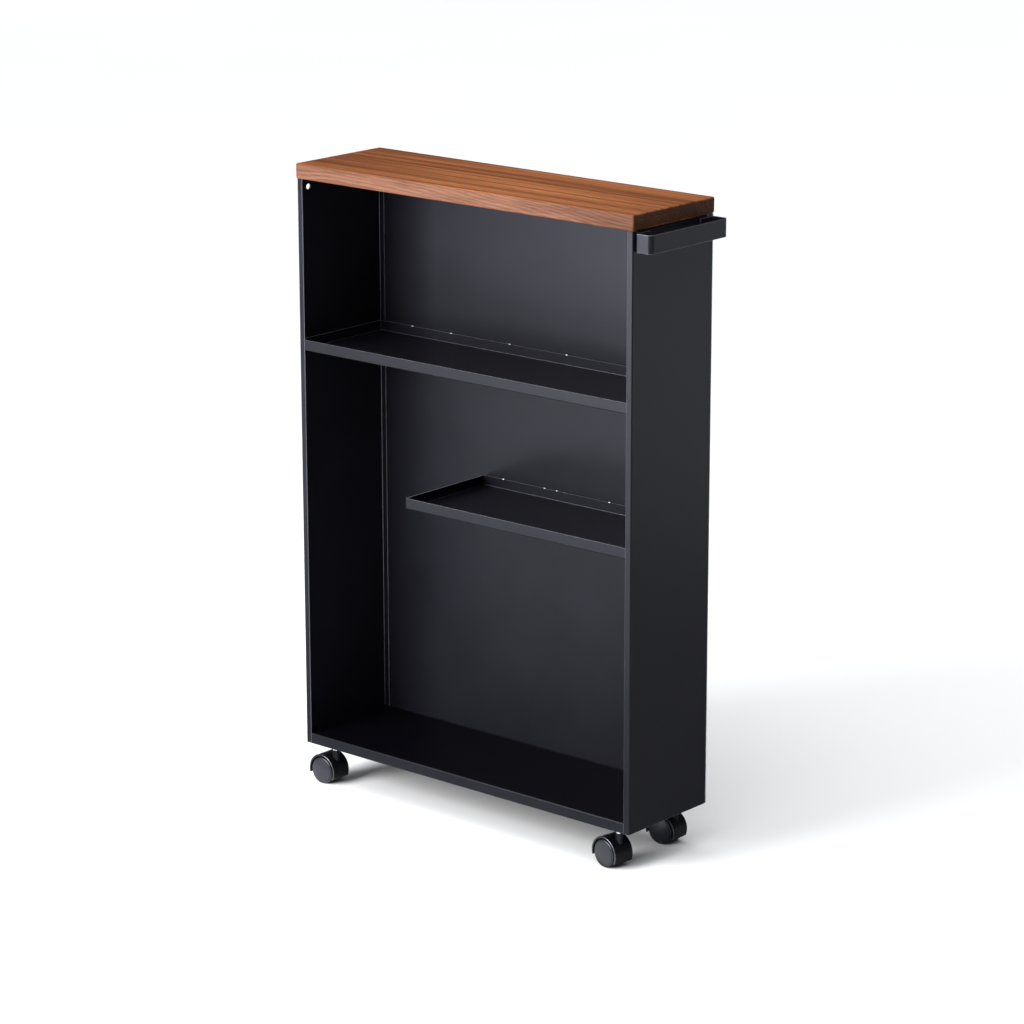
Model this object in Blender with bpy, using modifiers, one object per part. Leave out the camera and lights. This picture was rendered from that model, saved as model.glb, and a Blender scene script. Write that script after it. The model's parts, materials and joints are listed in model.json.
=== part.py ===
"""Slim rolling storage cart: folded sheet-metal carcass with one full and one half tray, a solid wood top
board, a flat-bar push handle and four twin-wheel swivel casters.

Frame: origin at the centre of the bounding box's bottom face, +X along the cart towards the handle, +Y from
the open front to the back, +Z up. Inside the file, the carcass is laid out from its own front-left-bottom
corner, which the empty cart_corner places, and each caster from the point on the ground under its stem.
"""

from math import cos, pi, radians, sin

import bmesh
import bpy
from mathutils import Matrix, Vector

MM = 0.001
GAP = 0.3 * MM  # between pieces that touch

# Carcass
BODY_WIDTH = 456.0 * MM
BODY_DEPTH = 129.0 * MM
BODY_HEIGHT = 628.5 * MM
SHEET = 1.0 * MM
BEND_RADIUS = 1.5 * MM
BEND_SEGMENTS = 2
FRONT_RETURN = 7.0 * MM
REAR_RETURN = 9.0 * MM
SIDE_TOP_FLANGE = 20.0 * MM
BACK_TOP_FLANGE = 15.0 * MM
FLANGE_SETBACK = 8.0 * MM  # from a panel's edge to the start of its top flange
RELIEF_WIDTH = 1.5 * MM
RELIEF_DEPTH = 2.5 * MM

# Trays and base
LIP_HEIGHT = 11.5 * MM
UPPER_TRAY_HEIGHT = 443.3 * MM
LOWER_TRAY_HEIGHT = 293.3 * MM
LOWER_TRAY_START = 151.0 * MM  # from the left outer face to its free end

# Board
BOARD_THICKNESS = 16.5 * MM
BOARD_OVERHANG = 1.0 * MM
BOARD_ROUNDING = 1.8 * MM
BOARD_SCREW_DEPTH = 11.0 * MM
BOARD_SCREW_RADIUS = 1.75 * MM
BOARD_SCREW_HEAD_RADIUS = 3.8 * MM
BOARD_SCREW_SIDE_INSET = 12.0 * MM  # from the outer side face
BOARD_SCREW_END_INSET = 25.0 * MM  # from the front and the rear of a side panel
BOARD_SCREW_BACK_INSET = 9.0 * MM  # from the rear face
BOARD_SCREW_BACK_SPREAD = 76.0 * MM  # either side of the middle

# Handle
HANDLE_PROJECTION = 21.0 * MM
HANDLE_THICKNESS = 2.5 * MM
HANDLE_HEIGHT = 19.0 * MM
HANDLE_DROP = 2.0 * MM  # from the top of the carcass to the top of the handle
HANDLE_INSET = 2.4 * MM  # from the front and rear faces to the legs
HANDLE_BEND = 5.5 * MM
HANDLE_FOOT_BEND = 3.5 * MM
HANDLE_FOOT = 22.0 * MM
HANDLE_HOLE_INSET = 16.0 * MM  # from the front and rear faces
HANDLE_HOLE_DROP = 10.4 * MM  # from the top of the carcass
HANDLE_HOLE_GAP = 0.5 * MM  # radial, round a handle screw in a side panel
HANDLE_SCREW_RADIUS = 2.5 * MM
HANDLE_SCREW_HEAD_RADIUS = 4.6 * MM

# Casters
CASTER_HEIGHT = 46.5 * MM  # from the ground to the bottom edge of the carcass
STEM_INSET_X = 27.0 * MM
STEM_INSET_Y = 18.0 * MM
CASTER_TRAIL = 10.5 * MM
WHEEL_RADIUS = 15.0 * MM
WHEEL_SIDES = 30  # leaves one flat facet at the bottom
WHEEL_EDGE = 1.8 * MM
TREAD_WIDTH = 27.5 * MM  # over both wheels
WHEEL_SIDE_GAP = 0.35 * MM
HOOD_CLEARANCE = 1.5 * MM  # from a wheel's tread to the inside of the hood
HOOD_WALL = 2.0 * MM
HOOD_WIDTH = 25.0 * MM
HOOD_SIDES = 48
HOOD_LIP_BACK = radians(16)  # below the axle, on the trailing side
HOOD_LIP_FRONT = radians(25)  # below the axle, on the stem side
BOSS_WALL = 0.65 * MM  # round the stem's bore
BOSS_RISE = 1.0 * MM  # above the top of the hood
CORE_WALL = 0.65 * MM  # from the boss to each side of the core between the wheels
AXLE_BOSS_RADIUS = 6.0 * MM
AXLE_BOSS_SETBACK = 0.4 * MM  # from each side of the core
AXLE_RADIUS = 2.0 * MM
AXLE_HOLD = 6.0 * MM  # length inside each wheel
STEM_RADIUS = 3.7 * MM
STEM_THREAD_RADIUS = 4.0 * MM
STEM_COLLAR_RADIUS = 6.0 * MM
STEM_COLLAR = 2.0 * MM
STEM_HOLD = 13.0 * MM  # length inside the hood
NUT_HEIGHT = 6.5 * MM
NUT_ACROSS_FLATS = 13.0 * MM
RUNNING_GAP = 0.25 * MM  # radial, between a shaft and its hole
TURN_STEPS = 14

# How far each caster has swivelled at rest, about +Z, from wheels trailing straight towards -X
REST_SWIVEL = {
    "front_left": 0.0,
    "front_right": radians(-9),
    "back_left": radians(-4),
    "back_right": radians(3),
}

# What follows from the sizes above
AXLE_HEIGHT = WHEEL_RADIUS * cos(pi / WHEEL_SIDES)
HOOD_RADIUS = WHEEL_RADIUS + HOOD_CLEARANCE + HOOD_WALL
BOSS_RADIUS = STEM_RADIUS + RUNNING_GAP + BOSS_WALL
CORE_WIDTH = 2 * (BOSS_RADIUS + CORE_WALL)
SIDE_DEPTH = BODY_DEPTH - SHEET - GAP  # the back panel closes the last of the depth


def hood_overhang(turn):
    """How far a left-hand caster's hood reaches past the carcass's left side, swivelled a little."""
    return (CASTER_TRAIL + HOOD_RADIUS) * cos(turn) + HOOD_WIDTH / 2 * abs(sin(turn)) - STEM_INSET_X


LEFT_REACH = max(BOARD_OVERHANG, *(hood_overhang(REST_SWIVEL[name]) for name in ("front_left", "back_left")))
BODY_LEFT = -(BODY_WIDTH + HANDLE_PROJECTION - LEFT_REACH) / 2

BLACK_COAT = ("black_powder_coat", (0.012, 0.012, 0.015), 0.45, 0.0)
WALNUT = ("walnut", (0.25, 0.10, 0.05), 0.45, 0.0)
BLACK_NYLON = ("black_nylon", (0.010, 0.010, 0.012), 0.35, 0.0)
CHROME = ("chrome", (0.75, 0.76, 0.78), 0.12, 1.0)
ZINC = ("zinc_plate", (0.55, 0.56, 0.58), 0.35, 1.0)


def clear_scene():
    for obj in list(bpy.data.objects):
        bpy.data.objects.remove(obj, do_unlink=True)


def new_collection(name):
    collection = bpy.data.collections.new(name)
    bpy.context.scene.collection.children.link(collection)
    return collection


def material(look):
    name, colour, roughness, metallic = look
    found = bpy.data.materials.get(name)
    if found:
        return found
    made = bpy.data.materials.new(name)
    made.use_nodes = True
    shader = made.node_tree.nodes["Principled BSDF"]
    shader.inputs["Base Color"].default_value = (*colour, 1.0)
    shader.inputs["Roughness"].default_value = roughness
    shader.inputs["Metallic"].default_value = metallic
    return made


def add_piece(name, bm, look, parent):
    """One named piece from a bmesh, in the cart's collection, with its material."""
    mesh = bpy.data.meshes.new(name)
    bm.to_mesh(mesh)
    bm.free()
    mesh.materials.append(material(look))
    obj = bpy.data.objects.new(name, mesh)
    parts.objects.link(obj)
    obj.parent = parent
    return obj


def add_empty(name, location, turn=0.0):
    empty = bpy.data.objects.new(name, None)
    empty.location = location
    empty.rotation_euler.z = turn
    parts.objects.link(empty)
    return empty


def add_cutter(name, shapes, parent):
    """Closed shapes, each a function that adds itself to a bmesh, as one hidden cutting object."""
    bm = bmesh.new()
    for shape in shapes:
        shape(bm)
    mesh = bpy.data.meshes.new(name)
    bm.to_mesh(mesh)
    bm.free()
    cutter = bpy.data.objects.new(name, mesh)
    cutter.hide_render = True
    cutter.display_type = "WIRE"
    cutters.objects.link(cutter)
    cutter.parent = parent
    return cutter


def boolean(obj, cutter, operation="DIFFERENCE"):
    modifier = obj.modifiers.new(cutter.name, "BOOLEAN")
    modifier.operation = operation
    modifier.object = cutter


def rod(centre, axis, radius, length, sides=24):
    """A function that adds a cylinder to a bmesh, centred at a point and lying along X, Y or Z."""
    turn = {"X": Matrix.Rotation(pi / 2, 4, "Y"), "Y": Matrix.Rotation(-pi / 2, 4, "X"), "Z": Matrix()}[axis]
    place = Matrix.Translation(centre) @ turn

    def add(bm):
        bmesh.ops.create_cone(
            bm, cap_ends=True, segments=sides, radius1=radius, radius2=radius, depth=length, matrix=place
        )

    return add


def prism(outline, y_low, y_high):
    """A function that adds an outline in X and Z, drawn out along Y, to a bmesh."""

    def add(bm):
        face = bm.faces.new([bm.verts.new((x, y_low, z)) for x, z in outline])
        made = bmesh.ops.extrude_face_region(bm, geom=[face])["geom"]
        risen = [part for part in made if isinstance(part, bmesh.types.BMVert)]
        bmesh.ops.translate(bm, verts=risen, vec=(0, y_high - y_low, 0))
        bmesh.ops.recalc_face_normals(bm, faces=bm.faces)

    return add


def smooth(obj, angle=35):
    obj.data.shade_smooth()
    obj.data.set_sharp_from_angle(angle=radians(angle))


def folded_sheet(name, outline, folds, lip_direction, parent):
    """Sheet metal from its outer faces: a flat outline, some of whose edges fold over by a width.

    folds maps an edge's number to its lip's width. Neighbouring lips of one width join at their corner."""
    bm = bmesh.new()
    corners = [bm.verts.new(point) for point in outline]
    web = bm.faces.new(corners)
    web.normal_update()
    lip = Vector(lip_direction)
    outward = web.normal.dot(lip) < 0
    if not outward:
        web.normal_flip()
    raised = {}
    for edge, width in folds.items():
        ends = (edge, (edge + 1) % len(corners))
        for end in ends:
            if (end, width) not in raised:
                raised[end, width] = bm.verts.new(corners[end].co + lip * width)
        near, far = ends if outward else ends[::-1]
        bm.faces.new([corners[far], corners[near], raised[near, width], raised[far, width]])
    weights = bm.edges.layers.float.new("bevel_weight_edge")
    for edge in bm.edges:
        edge[weights] = float(len(edge.link_faces) == 2)
    obj = add_piece(name, bm, BLACK_COAT, parent)
    bend = obj.modifiers.new("bend", "BEVEL")
    bend.limit_method = "WEIGHT"
    bend.width = BEND_RADIUS
    bend.segments = BEND_SEGMENTS
    thicken = obj.modifiers.new("thickness", "SOLIDIFY")
    thicken.thickness = SHEET
    thicken.offset = -1
    thicken.use_even_offset = True
    smooth(obj)
    return obj


def turned(name, profile, look, parent, steps=TURN_STEPS):
    """A turned piece about its own Z. The profile is (radius, height) pairs, down the outer side."""
    bm = bmesh.new()
    points = [bm.verts.new((radius, 0, height)) for radius, height in profile]
    for above, below in zip(points, points[1:]):
        bm.edges.new((above, below))
    obj = add_piece(name, bm, look, parent)
    turn = obj.modifiers.new("turn", "SCREW")
    turn.steps = turn.render_steps = steps
    turn.use_merge_vertices = True
    turn.merge_threshold = 0.01 * MM
    turn.use_smooth_shade = True
    return obj


def top_edge_with_flange(start, end, setback):
    """Places along a panel's top edge and depths below it, with a bend relief at each end of its flange."""
    return [
        (start, 0.0),
        (start + setback - RELIEF_WIDTH, 0.0),
        (start + setback - RELIEF_WIDTH, RELIEF_DEPTH),
        (start + setback, RELIEF_DEPTH),
        (start + setback, 0.0),
        (end - setback, 0.0),
        (end - setback, RELIEF_DEPTH),
        (end - setback + RELIEF_WIDTH, RELIEF_DEPTH),
        (end - setback + RELIEF_WIDTH, 0.0),
        (end, 0.0),
    ]


def handle_hole_places():
    """Where the handle's screws pass a side panel: its places front to back, and their height."""
    height = BODY_HEIGHT - HANDLE_HOLE_DROP
    return [(HANDLE_HOLE_INSET, height), (BODY_DEPTH - HANDLE_HOLE_INSET, height)]


def board_screw_places():
    """Where the board's screws pass the top flanges: name, x and y."""
    sides = {"left": BOARD_SCREW_SIDE_INSET, "right": BODY_WIDTH - BOARD_SCREW_SIDE_INSET}
    ends = {"front": BOARD_SCREW_END_INSET, "rear": SIDE_DEPTH - BOARD_SCREW_END_INSET}
    places = [(f"{side}_{end}", x, y) for side, x in sides.items() for end, y in ends.items()]
    middle = BODY_WIDTH / 2
    back = BODY_DEPTH - BOARD_SCREW_BACK_INSET
    places.append(("back_left", middle - BOARD_SCREW_BACK_SPREAD, back))
    places.append(("back_right", middle + BOARD_SCREW_BACK_SPREAD, back))
    return places


def add_side_panel(name, outer_x, inward):
    """Full-height side: front and rear returns, a top flange under the board, and the handle's two holes."""
    edge = top_edge_with_flange(0.0, SIDE_DEPTH, FLANGE_SETBACK)
    outline = [(outer_x, 0, 0)] + [(outer_x, y, BODY_HEIGHT - drop) for y, drop in edge]
    outline.append((outer_x, SIDE_DEPTH, 0))
    folds = {0: FRONT_RETURN, 5: SIDE_TOP_FLANGE, 10: REAR_RETURN}
    panel = folded_sheet(name, outline, folds, (inward, 0, 0), corner)
    wall = outer_x + inward * SHEET / 2
    radius = HANDLE_SCREW_RADIUS + HANDLE_HOLE_GAP
    holes = [rod((wall, y, z), "X", radius, 4 * SHEET) for y, z in handle_hole_places()]
    for _, x, y in board_screw_places():
        if abs(x - outer_x) < SIDE_TOP_FLANGE:
            place = (x, y, BODY_HEIGHT - SHEET / 2)
            holes.append(rod(place, "Z", BOARD_SCREW_RADIUS + RUNNING_GAP, 4 * SHEET, TURN_STEPS))
    boolean(panel, add_cutter(f"{name}_holes", holes, corner))
    return panel


def add_back_panel():
    """Flat rear sheet behind the side panels' rear returns, with a top flange under the board."""
    setback = SIDE_TOP_FLANGE + RELIEF_WIDTH + GAP
    edge = top_edge_with_flange(0.0, BODY_WIDTH, setback)
    outline = [(0, BODY_DEPTH, 0)] + [(x, BODY_DEPTH, BODY_HEIGHT - drop) for x, drop in edge]
    outline.append((BODY_WIDTH, BODY_DEPTH, 0))
    panel = folded_sheet("back_panel", outline, {5: BACK_TOP_FLANGE}, (0, -1, 0), corner)
    holes = [
        rod((x, y, BODY_HEIGHT - SHEET / 2), "Z", BOARD_SCREW_RADIUS + RUNNING_GAP, 4 * SHEET, TURN_STEPS)
        for name, x, y in board_screw_places()
        if name.startswith("back")
    ]
    boolean(panel, add_cutter("back_panel_holes", holes, corner))


def tray_edges():
    """Inner limits for a tray or the base: x between the returns, x between the sides, front and rear y."""
    between_returns = (FRONT_RETURN + GAP, BODY_WIDTH - FRONT_RETURN - GAP)
    between_sides = (SHEET + GAP, BODY_WIDTH - SHEET - GAP)
    return between_returns, between_sides, SHEET + GAP, SIDE_DEPTH - SHEET - GAP


def full_width_outline(height):
    """A floor between the side panels whose front edge fits between their front returns."""
    (slot_left, slot_right), (left, right), behind_return, rear = tray_edges()
    plan = [
        (slot_left, 0),
        (slot_right, 0),
        (slot_right, behind_return),
        (right, behind_return),
        (right, rear),
        (left, rear),
        (left, behind_return),
        (slot_left, behind_return),
    ]
    return [(x, y, height) for x, y in plan]


def add_upper_tray():
    lips = {0: LIP_HEIGHT, 3: LIP_HEIGHT, 4: LIP_HEIGHT, 5: LIP_HEIGHT}
    folded_sheet("upper_tray", full_width_outline(UPPER_TRAY_HEIGHT), lips, (0, 0, 1), corner)


def add_lower_tray():
    """Half-width tray from a free left end to the right side panel."""
    (_, slot_right), (_, right), behind_return, rear = tray_edges()
    plan = [
        (LOWER_TRAY_START, 0),
        (slot_right, 0),
        (slot_right, behind_return),
        (right, behind_return),
        (right, rear),
        (LOWER_TRAY_START, rear),
    ]
    outline = [(x, y, LOWER_TRAY_HEIGHT) for x, y in plan]
    lips = {0: LIP_HEIGHT, 3: LIP_HEIGHT, 4: LIP_HEIGHT, 5: LIP_HEIGHT}
    folded_sheet("lower_tray", outline, lips, (0, 0, 1), corner)


def stem_places():
    """Each caster's name and its stem's x and y."""
    columns = {"left": STEM_INSET_X, "right": BODY_WIDTH - STEM_INSET_X}
    rows = {"front": STEM_INSET_Y, "back": BODY_DEPTH - STEM_INSET_Y}
    return {f"{row}_{column}": (x, y) for row, y in rows.items() for column, x in columns.items()}


def add_base():
    """Floor with turned-down edges. The caster nuts sit under it."""
    lips = {0: LIP_HEIGHT, 3: LIP_HEIGHT, 4: LIP_HEIGHT, 5: LIP_HEIGHT}
    folded_sheet("base_panel", full_width_outline(LIP_HEIGHT), lips, (0, 0, -1), corner)


def add_board():
    """Solid wood top with softened edges and blind pilot holes for its screws."""
    bm = bmesh.new()
    bmesh.ops.create_cube(bm, size=1.0)
    size = (BODY_WIDTH + 2 * BOARD_OVERHANG, BODY_DEPTH + 2 * BOARD_OVERHANG, BOARD_THICKNESS)
    bmesh.ops.scale(bm, vec=size, verts=bm.verts)
    board = add_piece("top_board", bm, WALNUT, corner)
    under = BODY_HEIGHT + GAP
    board.location = (BODY_WIDTH / 2, BODY_DEPTH / 2, under + BOARD_THICKNESS / 2)
    rounding = board.modifiers.new("rounding", "BEVEL")
    rounding.width = BOARD_ROUNDING
    rounding.segments = 3
    smooth(board)
    depth = BOARD_SCREW_DEPTH + GAP
    pilots = [
        rod((x, y, under), "Z", BOARD_SCREW_RADIUS + RUNNING_GAP, 2 * depth, TURN_STEPS)
        for _, x, y in board_screw_places()
    ]
    boolean(board, add_cutter("board_pilot_holes", pilots, corner))


def pan_head_profile(length, radius, head_radius, tip):
    """A pan-head screw pointing up, its head's seat at height 0."""
    head = 0.6 * head_radius
    return [
        (0, length),
        (radius, length - tip),
        (radius, 0),
        (head_radius, 0),
        (head_radius, -0.45 * head),
        (0.72 * head_radius, -0.9 * head),
        (0, -head),
    ]


def add_board_screws():
    seat = BODY_HEIGHT - SHEET - GAP
    length = BODY_HEIGHT + GAP + BOARD_SCREW_DEPTH - seat
    profile = pan_head_profile(length, BOARD_SCREW_RADIUS, BOARD_SCREW_HEAD_RADIUS, 2 * BOARD_SCREW_RADIUS)
    for name, x, y in board_screw_places():
        screw = turned(f"board_screw_{name}", profile, ZINC, corner)
        screw.location = (x, y, seat)


def arc(centre, radius, start, end, segments):
    """Points on a circle from one angle to another, both ends included."""
    angles = [start + (end - start) * step / segments for step in range(segments + 1)]
    return [(centre[0] + radius * cos(a), centre[1] + radius * sin(a)) for a in angles]


def handle_path():
    """The handle's outer face seen from above, from the end of its front foot round to its rear foot."""
    wall = BODY_WIDTH + GAP
    outer = BODY_WIDTH + HANDLE_PROJECTION
    front = HANDLE_INSET
    rear = BODY_DEPTH - HANDLE_INSET
    foot, bend = HANDLE_FOOT_BEND, HANDLE_BEND
    return (
        [(wall, front + HANDLE_FOOT)]
        + arc((wall + foot, front + foot), foot, pi, 1.5 * pi, 4)
        + arc((outer - bend, front + bend), bend, -pi / 2, 0, 6)
        + arc((outer - bend, rear - bend), bend, 0, pi / 2, 6)
        + arc((wall + foot, rear - foot), foot, pi / 2, pi, 4)
        + [(wall, rear - HANDLE_FOOT)]
    )


def add_handle():
    """Flat bar on edge, bent into a U with feet turned in, tapped for a screw in each foot."""
    bm = bmesh.new()
    top = BODY_HEIGHT - HANDLE_DROP
    low = [bm.verts.new((x, y, top - HANDLE_HEIGHT)) for x, y in handle_path()]
    high = [bm.verts.new((x, y, top)) for x, y in handle_path()]
    for i in range(len(low) - 1):
        bm.faces.new([low[i], low[i + 1], high[i + 1], high[i]])
    handle = add_piece("handle", bm, BLACK_COAT, corner)
    thicken = handle.modifiers.new("thickness", "SOLIDIFY")
    thicken.thickness = HANDLE_THICKNESS
    thicken.offset = -1
    thicken.use_even_offset = True
    smooth(handle)
    middle = BODY_WIDTH + GAP + HANDLE_THICKNESS / 2
    radius = HANDLE_SCREW_RADIUS + RUNNING_GAP
    taps = [rod((middle, y, z), "X", radius, 2 * HANDLE_THICKNESS) for y, z in handle_hole_places()]
    boolean(handle, add_cutter("handle_taps", taps, corner))


def add_handle_screws():
    seat = BODY_WIDTH - SHEET - GAP
    length = BODY_WIDTH + GAP + HANDLE_THICKNESS - seat
    profile = pan_head_profile(length, HANDLE_SCREW_RADIUS, HANDLE_SCREW_HEAD_RADIUS, 0.3 * MM)
    profile.insert(1, (HANDLE_SCREW_RADIUS - 0.3 * MM, length))
    for name, (y, z) in zip(("front", "rear"), handle_hole_places()):
        screw = turned(f"handle_screw_{name}", profile, ZINC, corner)
        screw.location = (seat, y, z)
        screw.rotation_euler.y = pi / 2


def stem_heights():
    """Heights above the ground of the nut, the stem's collar, the hood's boss and the stem's lower end."""
    nut_top = CASTER_HEIGHT + LIP_HEIGHT - SHEET - GAP
    nut_bottom = nut_top - NUT_HEIGHT
    collar_top = nut_bottom - GAP
    boss_top = AXLE_HEIGHT + HOOD_RADIUS + BOSS_RISE
    return {
        "nut_top": nut_top,
        "nut_bottom": nut_bottom,
        "collar_top": collar_top,
        "collar_bottom": collar_top - STEM_COLLAR,
        "boss_top": boss_top,
        "stem_bottom": boss_top - STEM_HOLD,
    }


def add_stem(caster, parent, at):
    chamfer = STEM_THREAD_RADIUS / 6
    profile = [
        (0, at["nut_top"]),
        (STEM_THREAD_RADIUS - chamfer, at["nut_top"]),
        (STEM_THREAD_RADIUS, at["nut_top"] - chamfer),
        (STEM_THREAD_RADIUS, at["collar_top"]),
        (STEM_COLLAR_RADIUS, at["collar_top"]),
        (STEM_COLLAR_RADIUS, at["collar_bottom"]),
        (STEM_RADIUS, at["collar_bottom"]),
        (STEM_RADIUS, at["stem_bottom"]),
        (0, at["stem_bottom"]),
    ]
    turned(f"caster_stem_{caster}", profile, CHROME, parent)


def add_nut(caster, parent, at):
    bm = bmesh.new()
    middle = (at["nut_top"] + at["nut_bottom"]) / 2
    rod((0, 0, middle), "Z", NUT_ACROSS_FLATS / 2 / cos(pi / 6), NUT_HEIGHT, 6)(bm)
    nut = add_piece(f"caster_nut_{caster}", bm, ZINC, parent)
    bore = rod((0, 0, middle), "Z", STEM_THREAD_RADIUS + RUNNING_GAP, 2 * NUT_HEIGHT, TURN_STEPS)
    boolean(nut, add_cutter(f"caster_nut_{caster}_bore", [bore], parent))


def lower_wedge():
    """Outline, in x and z about the axle, of what the hood leaves open below its two lips."""
    far = 2 * HOOD_RADIUS
    back = (-far * cos(HOOD_LIP_BACK), -far * sin(HOOD_LIP_BACK))
    front = (far * cos(HOOD_LIP_FRONT), -far * sin(HOOD_LIP_FRONT))
    corners = [(0.0, 0.0), back, (back[0], -far), (front[0], -far), front]
    return [(x - CASTER_TRAIL, z + AXLE_HEIGHT) for x, z in corners]


def add_hood(caster, parent, at):
    """Drum-shaped cover over both wheels: a core between them that holds the stem and the axle."""
    axle = (-CASTER_TRAIL, 0, AXLE_HEIGHT)
    bm = bmesh.new()
    rod(axle, "Y", HOOD_RADIUS, HOOD_WIDTH, HOOD_SIDES)(bm)
    hood = add_piece(f"caster_hood_{caster}", bm, BLACK_NYLON, parent)
    pocket = HOOD_WIDTH
    offset = (CORE_WIDTH + pocket) / 2
    inner = HOOD_RADIUS - HOOD_WALL
    pockets = [
        rod((axle[0], side * offset, axle[2]), "Y", inner, pocket, HOOD_SIDES) for side in (-1, 1)
    ]
    wedge = prism(lower_wedge(), -HOOD_WIDTH, HOOD_WIDTH)
    boss_low = at["stem_bottom"] - HOOD_WALL
    boss = rod((0, 0, (at["boss_top"] + boss_low) / 2), "Z", BOSS_RADIUS, at["boss_top"] - boss_low)
    core = rod(axle, "Y", AXLE_BOSS_RADIUS, CORE_WIDTH - 2 * AXLE_BOSS_SETBACK)
    bore_middle = at["stem_bottom"] - GAP + STEM_HOLD
    stem_bore = rod((0, 0, bore_middle), "Z", STEM_RADIUS + RUNNING_GAP, 2 * STEM_HOLD, TURN_STEPS)
    axle_bore = rod(axle, "Y", AXLE_RADIUS + RUNNING_GAP, 2 * CORE_WIDTH, TURN_STEPS)
    boolean(hood, add_cutter(f"{hood.name}_pockets", pockets, parent))
    boolean(hood, add_cutter(f"{hood.name}_opening", [wedge], parent))
    boolean(hood, add_cutter(f"{hood.name}_boss", [boss], parent), "UNION")
    boolean(hood, add_cutter(f"{hood.name}_core", [core], parent), "UNION")
    boolean(hood, add_cutter(f"{hood.name}_stem_bore", [stem_bore], parent))
    boolean(hood, add_cutter(f"{hood.name}_axle_bore", [axle_bore], parent))


def add_axle(caster, parent):
    half = CORE_WIDTH / 2 + WHEEL_SIDE_GAP + AXLE_HOLD
    profile = [(0, half), (AXLE_RADIUS, half), (AXLE_RADIUS, -half), (0, -half)]
    axle = turned(f"caster_axle_{caster}", profile, ZINC, parent)
    axle.location = (-CASTER_TRAIL, 0, AXLE_HEIGHT)
    axle.rotation_euler.x = pi / 2


def add_wheels(caster, parent):
    """Two wheels, each with a closed outer face and a blind bore on the axle."""
    inner_face = CORE_WIDTH / 2 + WHEEL_SIDE_GAP
    width = TREAD_WIDTH / 2 - inner_face
    bore = AXLE_RADIUS + RUNNING_GAP
    depth = AXLE_HOLD + GAP
    edge = arc((WHEEL_RADIUS - WHEEL_EDGE, width - WHEEL_EDGE), WHEEL_EDGE, pi / 2, 0, 3)
    inner_edge = WHEEL_EDGE / 2
    profile = [(0, width), *edge, (WHEEL_RADIUS, inner_edge), (WHEEL_RADIUS - inner_edge, 0)]
    profile += [(bore, 0), (bore, depth), (0, depth)]
    for side, sign in (("near", -1), ("far", 1)):
        wheel = turned(f"caster_wheel_{caster}_{side}", profile, BLACK_NYLON, parent, WHEEL_SIDES)
        wheel.location = (-CASTER_TRAIL, sign * inner_face, AXLE_HEIGHT)
        wheel.rotation_euler.x = -sign * pi / 2


def add_casters():
    at = stem_heights()
    for caster, (x, y) in stem_places().items():
        place = (BODY_LEFT + x, y - BODY_DEPTH / 2, 0)
        fixed = add_empty(f"caster_mount_{caster}", place)
        swivel = add_empty(f"caster_swivel_{caster}", place, REST_SWIVEL[caster])
        add_stem(caster, fixed, at)
        add_nut(caster, fixed, at)
        add_hood(caster, swivel, at)
        add_axle(caster, swivel)
        add_wheels(caster, swivel)


clear_scene()
parts = new_collection("rolling_cart")
cutters = new_collection("cutters")
corner = add_empty("cart_corner", (BODY_LEFT, -BODY_DEPTH / 2, CASTER_HEIGHT))
add_side_panel("left_side_panel", 0.0, 1)
add_side_panel("right_side_panel", BODY_WIDTH, -1)
add_back_panel()
add_base()
add_upper_tray()
add_lower_tray()
add_board()
add_board_screws()
add_handle()
add_handle_screws()
add_casters()
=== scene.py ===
"""Looks of the slim rolling cart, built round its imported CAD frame.

Every piece is made again at a finer finish than its CAD solid, from the frame's own boxes and joints: folded
powder-coated sheets with rounded cut edges, a walnut board, a flat-bar handle, screws with cross recesses, tack
welds, and casters with domed twin wheels. Each piece rides on the body of the CAD node that it stands for.
"""

import json
from math import atan2, cos, pi, radians, sin, sqrt

import bmesh
import bpy
from mathutils import Matrix, Vector, noise


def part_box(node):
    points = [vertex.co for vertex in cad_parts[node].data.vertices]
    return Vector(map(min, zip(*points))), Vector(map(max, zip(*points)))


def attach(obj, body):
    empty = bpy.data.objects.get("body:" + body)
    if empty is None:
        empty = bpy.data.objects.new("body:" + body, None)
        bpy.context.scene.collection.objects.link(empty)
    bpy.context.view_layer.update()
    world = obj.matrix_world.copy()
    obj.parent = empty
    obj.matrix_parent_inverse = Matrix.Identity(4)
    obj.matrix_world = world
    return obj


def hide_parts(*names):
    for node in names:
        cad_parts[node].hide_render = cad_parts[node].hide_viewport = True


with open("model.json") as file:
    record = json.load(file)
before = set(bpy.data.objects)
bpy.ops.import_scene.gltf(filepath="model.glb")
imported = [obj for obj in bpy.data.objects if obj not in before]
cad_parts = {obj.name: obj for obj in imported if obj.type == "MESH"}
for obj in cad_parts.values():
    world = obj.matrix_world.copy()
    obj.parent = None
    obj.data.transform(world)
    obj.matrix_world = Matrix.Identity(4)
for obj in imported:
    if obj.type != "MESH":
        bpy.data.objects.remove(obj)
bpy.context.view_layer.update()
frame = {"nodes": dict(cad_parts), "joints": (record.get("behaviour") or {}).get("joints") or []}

MM = 0.001
SHARP_CORNER = radians(50)  # edges that turn by more than this are rounded

# Carcass: what the frame's boxes don't say
SHEET = 1.0 * MM
GAP = 0.3 * MM
BEND_RADIUS = 1.5 * MM
BEND_SEGMENTS = 6
EDGE_ROUNDING = 0.38 * MM
FRONT_RETURN = 7.0 * MM
REAR_RETURN = 7.4 * MM  # a little narrower than its CAD solid's
SIDE_TOP_FLANGE = 20.0 * MM
BACK_TOP_FLANGE = 15.0 * MM
FLANGE_SETBACK = 8.0 * MM
RELIEF_WIDTH = 1.5 * MM
RELIEF_DEPTH = 2.5 * MM
SIDE_HOLE_RADIUS = 3.0 * MM
FLANGE_HOLE_RADIUS = 2.0 * MM

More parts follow.
